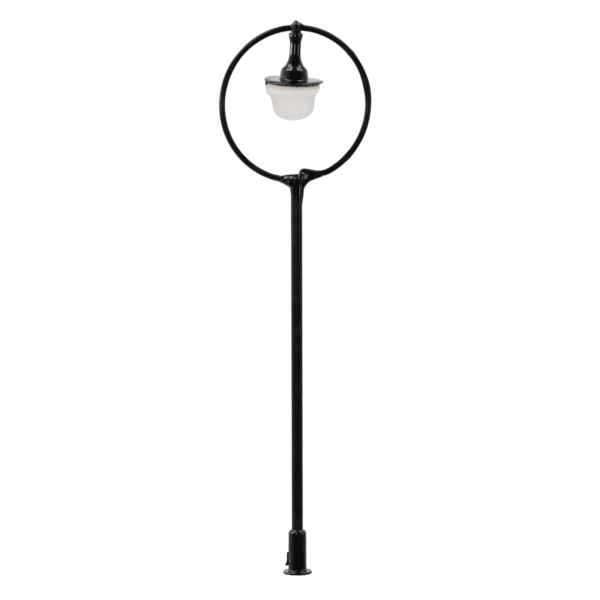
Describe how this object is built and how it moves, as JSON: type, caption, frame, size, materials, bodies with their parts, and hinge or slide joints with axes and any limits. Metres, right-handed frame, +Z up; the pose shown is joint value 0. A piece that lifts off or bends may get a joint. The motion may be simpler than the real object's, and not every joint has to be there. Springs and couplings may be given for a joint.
{
  "type": "model street lamp",
  "caption": "Model street lamp: slim tube mast on a flanged foot, with a hoop of thin tube on top and a bell-stemmed lamp with a disc shade and frosted globe hung inside it.",
  "frame": {"origin": "on the ground, on the mast's axis, under the middle of the foot flange", "axes": "+Z up the mast; the hoop lies in the XZ plane with its lapped end on the +X side; +Y points away from the viewer of the picture"},
  "size_m": [0.0215, 0.0083, 0.0786],
  "materials": {
    "black_enamel": "gloss black paint over brass tube, turned brass and soft solder",
    "bare_brass": "plain turned brass",
    "frosted_plastic": "translucent white, satin",
    "clear_glass": "clear bulb glass",
    "nickel_wire": "drawn wire",
    "tungsten": "dark drawn wire",
    "enamelled_copper": "copper wire with a clear brown enamel",
    "insulation": "off-white insulating sleeve"
  },
  "bodies": {
    "post": {"foot_flange": "black_enamel", "foot_sleeve": "black_enamel", "return_tail": "black_enamel", "mast_tube": "black_enamel", "wire_bush": "insulation", "ring_tube": "black_enamel", "root_solder": "black_enamel", "top_solder": "black_enamel", "lamp_stem": "black_enamel", "shade_disc": "black_enamel", "globe_seat": "bare_brass", "lamp_socket": "bare_brass", "bulb_glass": "clear_glass", "bulb_bead": "clear_glass", "bulb_lead_live": "nickel_wire", "bulb_lead_return": "nickel_wire", "bulb_filament": "tungsten", "live_wire": "enamelled_copper", "splice_sleeve": "insulation", "lead_bush": "insulation"},
    "globe": {"globe": "frosted_plastic"}
  },
  "joints": [
    {"name": "globe_pull", "type": "slide", "parent": "post", "child": "globe", "axis": [-0.0384, 0.0349, -0.9987], "range_m": [0, 0.005]}
  ]
}
